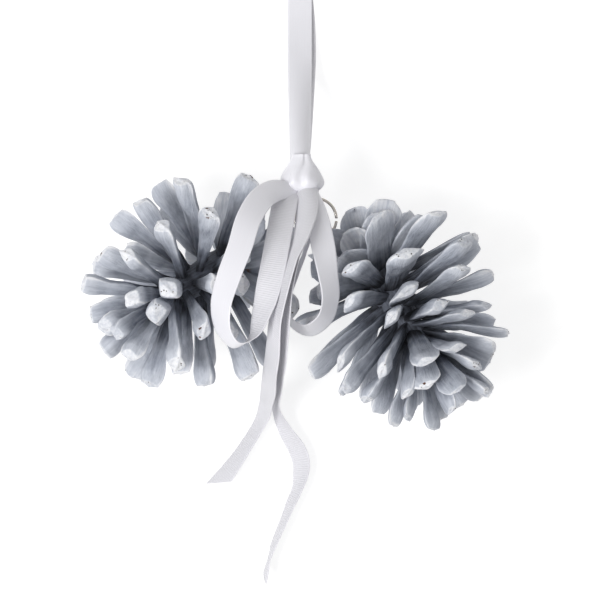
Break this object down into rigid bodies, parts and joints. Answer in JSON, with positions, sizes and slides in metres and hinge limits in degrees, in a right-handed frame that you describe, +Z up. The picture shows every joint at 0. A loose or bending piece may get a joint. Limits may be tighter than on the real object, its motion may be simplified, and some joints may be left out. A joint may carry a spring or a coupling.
{
  "type": "hanging pair of pine cones tied with a ribbon",
  "caption": "Open whitewashed pine cones held by screw eyes on a wire ring and tied with a white satin ribbon bow, lying on a table.",
  "frame": {"origin": "middle of the whole part's box, on the table that the cones lie on", "axes": "+Z up from the table, +Y from the bow's tails to the hanging loop, +X from the left cone to the right cone"},
  "size_m": [0.2112, 0.3084, 0.1205],
  "materials": {
    "whitewashed_scales": "matte white wash brushed over woody scales, thin at the roots",
    "steel_wire": "bright nickel plate",
    "satin": "white satin, smooth face and finely ribbed back"
  },
  "bodies": {
    "root": {"cone_left": "whitewashed_scales", "cone_right": "whitewashed_scales", "screw_eye_left": "steel_wire", "screw_eye_right": "steel_wire", "ring": "steel_wire", "ribbon": "satin"}
  },
  "joints": []
}
